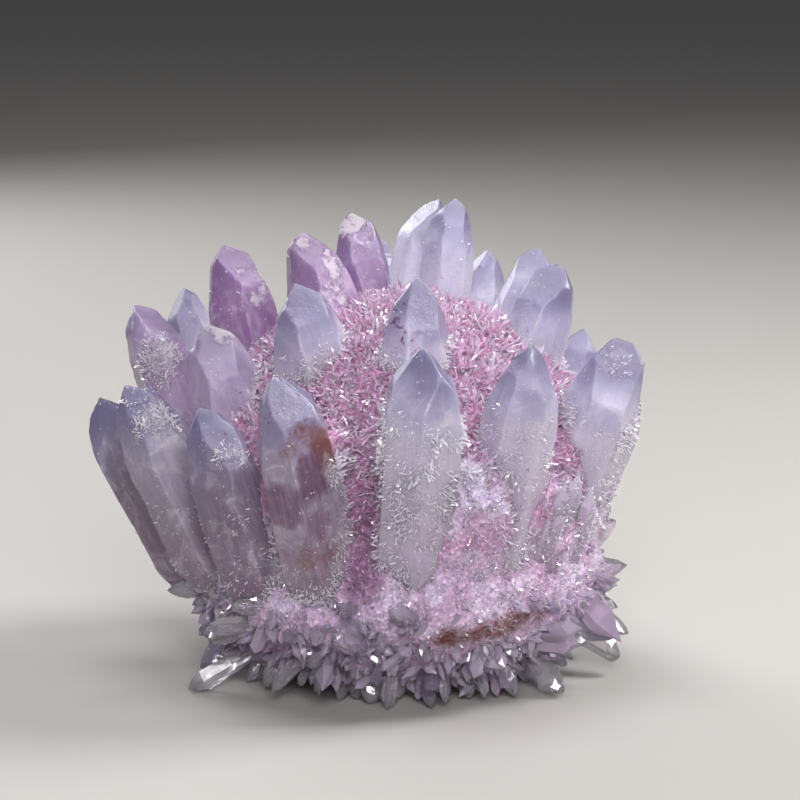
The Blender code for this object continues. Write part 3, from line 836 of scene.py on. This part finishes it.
def crystal_batch(
    roots, ways, lengths, widths, rng, sides=6, tip_share=0.8, tip_rings=PLAIN_TIP, root_share=0.85
):
    """Many small crystals at once: a polygon carried along each way and drawn in to an apex.

    Corner k of ring j lies at root + way * height_j + width / 2 * share_j * (cos, sin) of its
    angle. tip_rings gives (part of the tip's height, share of the width). The tip's corners are
    raised and lowered at random and the apex stands off the axis, so that no two ends are alike.
    Without a root_share the crystal widens from a point deep in the ground.
    """
    count = len(roots)
    first, second = sideways(ways)
    turn = rng.uniform(0, 2 * math.pi, (count, 1)) + np.arange(sides) * 2 * math.pi / sides
    turn = turn + rng.uniform(-0.16, 0.16, (count, sides))
    out = np.cos(turn)[..., None] * first[:, None] + np.sin(turn)[..., None] * second[:, None]
    out = out * (widths / 2)[:, None, None]
    flat = rng.uniform(0.6, 1.0, (count, 1, 1))
    across = unit(first + rng.normal(size=(count, 1)) * second)[:, None]
    out = out - across * (1 - flat) * np.sum(out * across, axis=-1, keepdims=True)
    tip = np.minimum(widths * tip_share * rng.uniform(0.7, 1.4, count), lengths * 0.6)
    uneven = widths[:, None] * rng.uniform(-0.22, 0.22, (count, sides))
    off_axis = out[:, 0] * rng.uniform(0, 0.5, (count, 1))
    rings = [roots[:, None] + out * root_share] if root_share else []
    for part, share in tip_rings:
        height = (lengths - tip * (1 - part))[:, None] + uneven * (1 - part)
        rings.append(roots[:, None] + out * share + ways[:, None] * height[..., None])
        rings[-1] = rings[-1] + off_axis[:, None] * part
    apex = roots + ways * lengths[:, None] + off_axis
    foot = roots - ways * (widths * 0.1 if root_share else lengths * 0.6)[:, None]
    points = np.concatenate([foot[:, None], *rings, apex[:, None]], axis=1)
    one = closed_rings(len(rings), sides)
    per = len(rings) * sides + 2
    faces = one[None] + (np.arange(count) * per)[:, None, None]
    return points.reshape(-1, 3), faces.reshape(-1, 3), per


SKIRT_ROWS = (
    # height mm, how many, tilt above level deg, length mm, width mm
    (4.4, 30, -62, 5.0, 2.6),
    (6.6, 36, -40, 5.4, 2.8),
    (9.8, 40, -18, 5.4, 2.8),
    (13.4, 36, 4, 4.8, 2.5),
    (16.5, 26, 22, 3.6, 2.0),
)
STUBS = (
    # azimuth deg, height of the root mm, tilt above level deg, length mm, width mm
    (-12, 11.0, 2, 7.0, 6.4),
    (10, 12.0, 6, 5.6, 5.8),
    (6, 4.0, -58, 8.8, 4.2),
    (27, 4.2, -52, 7.8, 3.6),
    (-24, 3.8, -44, 7.0, 3.2),
    (-62, 6.2, -26, 12.0, 3.4),
    (-92, 4.0, -20, 8.4, 3.0),
    (-76, 12.5, 4, 7.4, 2.8),
    (56, 5.6, -30, 7.4, 3.8),
    (70, 9.0, -12, 6.8, 4.6),
    (84, 13.6, 10, 6.0, 4.8),
    (93, 18.4, 24, 5.4, 3.4),
    (102, 7.0, -14, 6.6, 4.4),
    (130, 5.0, -30, 7.4, 3.6),
    (158, 10.0, -4, 7.2, 4.2),
    (-174, 5.0, -34, 7.4, 3.6),
    (-146, 11.0, 0, 7.0, 4.0),
    (-122, 4.6, -30, 7.4, 3.4),
)
ROOT_DEPTH = 2.6 * MM
LOWEST_TIP = 0.3 * MM


def skirt_rows(rng):
    """Azimuth, height, tilt, length and width of every skirt crystal, one row each."""
    rows = []
    for height, count, tilt, length, width in SKIRT_ROWS:
        size = np.clip(rng.lognormal(-0.1, 0.38, count), 0.4, 1.7)
        rows.append(
            np.stack(
                [
                    360 * (np.arange(count) + rng.uniform(-0.4, 0.4, count)) / count,
                    height + rng.uniform(-1, 1, count),
                    tilt + rng.uniform(-28, 28, count),
                    length * size,
                    width * size ** 0.7 * rng.uniform(0.6, 1.25, count),
                ],
                -1,
            )
        )
    return np.concatenate([*rows, np.array(STUBS, float)])


class CLUSTER_OT_small_crystals(bpy.types.Operator):
    """Builds the skirt round the foot, the crystals in the gaps and the coarse druse"""

    bl_idname = "cluster.small_crystals"
    bl_label = "Small Crystals"

    def execute(self, context):
        looks = context.scene.cluster_druse
        rng = np.random.default_rng(7)
        self.skirt(looks, small_quartz_material("clear_quartz", 0.89, 0.03, 1.0 * MM, 0.7), rng)
        self.coarse_druse(looks, small_quartz_material("small_quartz", 0.75, 0.04, 0.5 * MM, 1.0), rng)
        self.gap_crystals(context.scene.cluster_points, rng)
        return {"FINISHED"}

    def skirt(self, looks, material, rng):
        """Crystals that stick out of the foot all round, shortened where they would meet z = 0."""
        azimuth, height, tilt, length, width = skirt_rows(rng).T
        height, length, width = height * MM, length * MM, width * MM
        level, slope = outward(azimuth), np.radians(tilt)[:, None]
        turned = outward(azimuth + rng.uniform(-28, 28, len(azimuth)))
        ways = turned * np.cos(slope) + np.array([0, 0, 1.0]) * np.sin(slope)
        roots = level * (lump_radius(height) - ROOT_DEPTH)[:, None]
        roots[:, 2] = height
        whole = length + ROOT_DEPTH
        most = np.where(ways[:, 2] < 0, (LOWEST_TIP - height) / np.minimum(ways[:, 2], -1e-6), 1)
        whole = np.minimum(whole, most)
        over_ledge = (np.abs(azimuth - 24) < 18) & (height > 8 * MM) & (height < 15 * MM)
        keep = (whole > ROOT_DEPTH + width / 2) & ~over_ledge
        points, faces, per = crystal_batch(
            roots[keep], ways[keep], whole[keep], width[keep], rng, 6, 0.8, WORN_TIP
        )
        tint = np.array(looks.white) ** rng.uniform(0.2, 1.2, (keep.sum(), 1))
        colours = np.repeat(tint, per, axis=0)
        attributes = {"growth_colour": colours}
        points[:, 2] = np.maximum(points[:, 2], 0)
        make_piece("skirt_crystals", points, faces, material, False, attributes)

    def coarse_druse(self, looks, material, rng):
        """Stubby crystals of 1 to 3 mm among the needles, most of them low on the lump."""
        spots, ways = scatter(*mesh_arrays("druse_ground"), looks.coarse_count * 3, rng)
        low = 1 - smooth_step(12 * MM, 17 * MM, spots[:, 2])
        taken = (rng.uniform(size=len(spots)) < 0.3 + 0.7 * low) & (spots[:, 2] > 2.5 * MM)
        taken &= ledge_band(spots) < 0.15
        spots, ways, low = (part[taken][: looks.coarse_count] for part in (spots, ways, low))
        lengths = looks.coarse_length * (0.8 + 0.7 * low) * rng.lognormal(0, 0.4, len(spots))
        widths = lengths * (rng.uniform(0.3, 0.5, len(spots)) + 0.05 * low)
        leaning = tuft_ways(spots, ways, 4 * MM, 1.2, rng)
        roots = spots - leaning * 0.3 * MM
        points, faces, per = crystal_batch(roots, leaning, lengths, widths, rng)
        points[:, 2] = np.maximum(points[:, 2], 0.05 * MM)
        colours = druse_colours(spots, looks, rng.uniform(0.4, 1.0, len(spots)))
        attributes = {"growth_colour": np.repeat(colours, per, axis=0)}
        make_piece("coarse_druse", points, faces, material, False, attributes)

    def gap_crystals(self, looks, rng):
        """Lesser crystals that fill the gaps between the outer points and fan out with them.

        Each lies on the line from the fan's centre through a spot 30 mm above the break. It starts
        inside the lump and ends at its own height.
        """
        count = looks.gap_count
        azimuth = rng.uniform(-180, 180, count)
        through = outward(azimuth) * rng.uniform(26.5, 31, (count, 1)) * MM
        through[:, 2] = 30 * MM
        ways = unit(through + np.array([0, 0, FAN_DEPTH]))
        ways = unit(ways + 0.05 * rng.normal(size=ways.shape))
        start, top = 14 * MM, (21 + 12 * rng.beta(1.4, 2.0, count)) * MM
        roots = through - ways * ((through[:, 2] - start) / ways[:, 2])[:, None]
        lengths = (top - start) / ways[:, 2]
        widths = rng.uniform(1.6, 3.2, count) * MM
        tips = roots + ways * lengths[:, None]
        free = crevice_share(tips) < 0.3
        for row in frame["record"]["subparts"]:
            if row["node"] != CRUST:
                free &= ~Growth(row["node"]).inside(tips, 0.8 * MM)
        roots, ways, lengths, widths = (part[free] for part in (roots, ways, lengths, widths))
        points, faces, per = crystal_batch(
            roots, ways, lengths, widths, rng, 6, 1.0, PLAIN_TIP, 1.1
        )
        own = np.stack([points[:, 0], points[:, 1], GRAIN_DRAW * points[:, 2]], axis=1) / MM
        share = smooth_step(20 * MM, 38 * MM, points[:, 2])[:, None]
        root, pale = np.array(looks.root_colour), np.array(looks.pale_colour)
        attributes = {"growth_colour": root + (pale - root) * share, "along_grain": own}
        attributes["milky"] = np.full(len(points), 0.8)
        material = amethyst_material("lesser_amethyst", 1.0 * MM)
        make_piece("gap_crystals", points, faces, material, False, attributes)


def scatter(points, faces, count, rng):
    """Random spots spread evenly over a mesh's area, with the way out of the face they lie on."""
    a, b, c = (points[faces[:, i]] for i in range(3))
    doubled = np.cross(b - a, c - a)
    area = np.linalg.norm(doubled, axis=1)
    chosen = rng.choice(len(faces), count, p=area / area.sum())
    u, v = rng.uniform(0, 1, (2, count, 1))
    fold = u + v > 1
    u, v = np.where(fold, 1 - u, u), np.where(fold, 1 - v, v)
    spots = a[chosen] + u * (b - a)[chosen] + v * (c - a)[chosen]
    return spots, doubled[chosen] / area[chosen, None]


def mesh_arrays(name):
    """Points and triangles of a piece that is already built."""
    mesh = bpy.data.objects[name].data
    points = np.empty(len(mesh.vertices) * 3)
    mesh.vertices.foreach_get("co", points)
    faces = np.empty(len(mesh.loops), np.int64)
    mesh.loops.foreach_get("vertex_index", faces)
    return points.reshape(-1, 3), faces.reshape(-1, 3)


def tuft_ways(spots, ways, tuft_size, spread, rng):
    """Ways that fan out from tuft centres, one centre at a random place in each cell of that size.

    way = way out + spread * (spot - centre) / tuft size, plus a smaller random lean.
    """
    cell = np.floor(spots / tuft_size)
    whole = cell.astype(np.int64) + 4096
    jitter = np.stack([cell_values(whole, seed) for seed in (301, 302, 303)], -1)
    centre = (cell + 0.5 + 0.4 * jitter) * tuft_size
    fan = spread * (spots - centre) / tuft_size
    fan -= ways * np.sum(fan * ways, axis=-1, keepdims=True)
    return unit(ways + fan + 0.8 * unit(rng.normal(size=ways.shape)))


class CLUSTER_OT_needles(bpy.types.Operator):
    """Builds the needle druse on the lump and on the lower parts of the points"""

    bl_idname = "cluster.needles"
    bl_label = "Needles"

    def execute(self, context):
        looks = context.scene.cluster_druse
        rng = np.random.default_rng(23)
        material = small_quartz_material("needle_quartz", 0.3, 0.08, 0.2 * MM)
        growths = [Growth(row["node"]) for row in frame["record"]["subparts"] if row["node"] != CRUST]
        self.on_lump(looks, growths, material, rng)
        self.on_points(looks, growths, material, rng)
        return {"FINISHED"}

    def on_lump(self, looks, growths, material, rng):
        """Dense needles in the gaps, in pieces that stay small enough to thin nothing."""
        spots, ways = scatter(*mesh_arrays("druse_ground"), looks.needle_count * 4, rng)
        height, radius = spots[:, 2], np.linalg.norm(spots[:, :2], axis=1)
        filled = smooth_step(26 * MM, 27.5 * MM, radius)
        free = rng.uniform(size=len(spots)) > 0.3 * filled
        free &= (height > (12 + 3 * rng.uniform(-1, 1, len(spots))) * MM) | (ledge_band(spots) > 0.15)
        for growth in growths:
            free &= ~growth.inside(spots, 0.1 * MM)
        spots, ways = spots[free][: looks.needle_count], ways[free][: looks.needle_count]
        size = 0.5 + 0.5 * smooth_step(24 * MM, 38 * MM, spots[:, 2])
        half = len(spots) // 2
        size[half:] *= 0.7
        white = rng.uniform(0, 1, len(spots)) ** 1.6
        for letter, part in (("a", slice(half)), ("b", slice(half, None))):
            batch = spots[part], ways[part], size[part], white[part]
            self.plant("gap_needles_" + letter, *batch, 1.0, looks, material, rng)

    def on_points(self, looks, growths, material, rng):
        """Frost on the points: thick in patches and belts, and round the roots, with a few strays."""
        spots, ways, sizes = [], [], []
        found, found_ways = scatter(*mesh_arrays("gap_crystals"), 16000, rng)
        taken = np.linalg.norm(found[:, :2], axis=1) > lump_radius(found[:, 2]) + 0.5 * MM
        for growth in growths:
            taken &= ~growth.inside(found)
        spots.append(found[taken])
        ways.append(found_ways[taken])
        sizes.append(np.full(taken.sum(), 0.4))
        for seed, growth in enumerate(growths):
            found, found_ways = scatter(*mesh_arrays(growth.node + "_grown"), 16000, rng)
            cover = frost_cover(growth, found, seed) + 0.003
            out = np.linalg.norm(found[:, :2], axis=1) - lump_radius(found[:, 2])
            taken = (rng.uniform(size=len(found)) < cover) & (out > 0.5 * MM)
            for other in growths:
                if other is not growth:
                    taken &= ~other.inside(found)
            spots.append(found[taken])
            ways.append(found_ways[taken])
            sizes.append(0.3 + 0.4 * cover[taken])
        spots, ways, sizes = (np.concatenate(part) for part in (spots, ways, sizes))
        order = rng.permutation(len(spots))[: looks.frost_count]
        white = rng.uniform(0.5, 1, len(spots))
        for letter, part in zip("abc", np.array_split(order, 3)):
            batch = spots[part], ways[part], sizes[part], white[part]
            self.plant("frost_needles_" + letter, *batch, 0.7, looks, material, rng)

    def plant(self, name, spots, ways, size, white_lift, depth, looks, material, rng):
        """Sets a needle on each spot and makes them one piece. depth is the power of its colour."""
        lengths = looks.needle_length * size * np.minimum(rng.lognormal(0, 0.45, len(spots)), 2.2)
        widths = (0.1 * looks.needle_length + 0.14 * lengths) * rng.uniform(0.7, 1.4, len(spots))
        leaning = tuft_ways(spots, ways, 2.2 * MM, 1.2, rng)
        roots = spots - leaning * 0.15 * MM
        points, faces, per = crystal_batch(roots, leaning, lengths, widths, rng, 3, 1.0, PLAIN_TIP, 0)
        points[:, 2] = np.maximum(points[:, 2], 0.05 * MM)
        colours = np.clip(druse_colours(spots, looks, white_lift), 0, 1) ** depth
        attributes = {"growth_colour": np.repeat(colours, per, axis=0)}
        make_piece(name, points, faces, material, False, attributes)


# Stage


class StageLooks(bpy.types.PropertyGroup):
    """Camera, light and floor."""

    camera_distance: FloatProperty(
        name="Camera Distance", description="From the camera to what it aims at", default=0.42, unit="LENGTH"
    )
    camera_rise: FloatProperty(
        name="Camera Rise", description="Angle from which the camera looks down", default=math.radians(10), subtype="ANGLE"
    )
    aim_height: FloatProperty(
        name="Aim Height", description="Height that the camera aims at", default=38 * MM, unit="LENGTH"
    )
    view_width: FloatProperty(
        name="View Width", description="Width of the view at what it aims at", default=111.1 * MM, unit="LENGTH"
    )
    floor_colour: FloatVectorProperty(
        name="Floor", description="Plain pale floor", default=linear("9b9895"), subtype="COLOR"
    )


def add_area_light(name, place, aim, size, power, colour):
    """A square soft light at place, turned to aim."""
    light = bpy.data.lights.new(name, "AREA")
    light.size, light.energy, light.color = size, power, colour
    obj = bpy.data.objects.new(name, light)
    obj.location = place
    obj.rotation_euler = (Vector(aim) - Vector(place)).to_track_quat("-Z", "Y").to_euler()
    bpy.context.scene.collection.objects.link(obj)


def add_floor(looks):
    """A wide flat disc: radius and angle on a grid, closed at its middle."""
    radii = np.array([0.02, 0.1, 0.5, 3.0])
    way = outward(np.arange(96) * 360 / 96)
    rings = (radii[:, None, None] * way).reshape(-1, 3)
    points = np.concatenate([[[0, 0, 0]], rings])
    around = 96
    k = np.arange(around)
    n = (k + 1) % around
    ring = 1 + np.arange(len(radii) - 1)[:, None] * around
    a, b, c, d = ring + k, ring + n, ring + around + n, ring + around + k
    sides = np.stack([np.stack([a, c, b], -1), np.stack([a, d, c], -1)], 2).reshape(-1, 3)
    middle = np.stack([np.zeros(around, int), 1 + k, 1 + n], -1)
    faces = np.concatenate([middle, sides])
    mesh = bpy.data.meshes.new("floor")
    mesh.from_pydata(points.tolist(), [], faces.tolist())
    material, tree, shader = new_material("matt_floor_paint")
    finish = {"Base Color": (*looks.floor_colour, 1), "Roughness": 0.9, "Specular IOR Level": 0.2}
    fill_inputs(tree, shader, finish)
    mesh.materials.append(material)
    floor = bpy.data.objects.new("floor", mesh)
    bpy.context.scene.collection.objects.link(floor)


class CLUSTER_OT_stage(bpy.types.Operator):
    """Sets up the floor, the lights and the camera"""

    bl_idname = "cluster.stage"
    bl_label = "Stage"

    def execute(self, context):
        looks = context.scene.cluster_stage
        add_floor(looks)
        aim = Vector((0, 0, looks.aim_height))
        add_area_light("key_light", (0.4, 0.06, 0.42), aim, 0.22, 4.0, (1.0, 0.99, 0.97))
        add_area_light("top_light", (-0.05, 0.0, 0.5), aim, 0.2, 1.5, (0.97, 0.98, 1.0))
        add_area_light("front_light", (0.04, -0.6, 0.32), aim, 0.25, 4.0, (1.0, 1.0, 1.0))
        add_area_light("back_light", (-0.34, 0.5, 0.3), aim, 0.3, 3.0, (0.97, 0.98, 1.0))
        world = bpy.data.worlds.new("studio")
        world.use_nodes = True
        background = world.node_tree.nodes["Background"]
        background.inputs["Color"].default_value = (*linear("cfd0d4"), 1)
        background.inputs["Strength"].default_value = 0.22
        context.scene.world = world
        context.scene.view_settings.view_transform = "Standard"
        camera = bpy.data.cameras.new("camera")
        camera.sensor_width = 36
        camera.lens = 18 / (looks.view_width / 2 / looks.camera_distance)
        camera.clip_start = 0.01
        obj = bpy.data.objects.new("camera", camera)
        rise = looks.camera_rise
        away = Vector((0, -math.cos(rise), math.sin(rise)))
        obj.location = aim + away * looks.camera_distance
        obj.rotation_euler = (-away).to_track_quat("-Z", "Y").to_euler()
        context.scene.collection.objects.link(obj)
        context.scene.camera = obj
        return {"FINISHED"}


OPERATORS = (
    CLUSTER_OT_points,
    CLUSTER_OT_ground,
    CLUSTER_OT_small_crystals,
    CLUSTER_OT_needles,
    CLUSTER_OT_stage,
)


class CLUSTER_PT_panel(bpy.types.Panel):
    """Lists the cluster's builders"""

    bl_idname = "CLUSTER_PT_panel"
    bl_label = "Amethyst Cluster"
    bl_space_type = "VIEW_3D"
    bl_region_type = "UI"
    bl_category = "Cluster"

    def draw(self, context):
        for operator in OPERATORS:
            self.layout.operator(operator.bl_idname)


GROUPS = {
    "cluster_points": PointLooks,
    "cluster_druse": DruseLooks,
    "cluster_stage": StageLooks,
}


def register():
    for cls in (*GROUPS.values(), *OPERATORS, CLUSTER_PT_panel):
        bpy.utils.register_class(cls)
    for name, group in GROUPS.items():
        setattr(bpy.types.Scene, name, PointerProperty(type=group))


def unregister():
    for name in GROUPS:
        delattr(bpy.types.Scene, name)
    for cls in reversed((*GROUPS.values(), *OPERATORS, CLUSTER_PT_panel)):
        bpy.utils.unregister_class(cls)


def main():
    register()
    bpy.ops.cluster.points()
    bpy.ops.cluster.ground()
    bpy.ops.cluster.small_crystals()
    bpy.ops.cluster.needles()
    bpy.ops.cluster.stage()


if __name__ == "__main__":
    main()
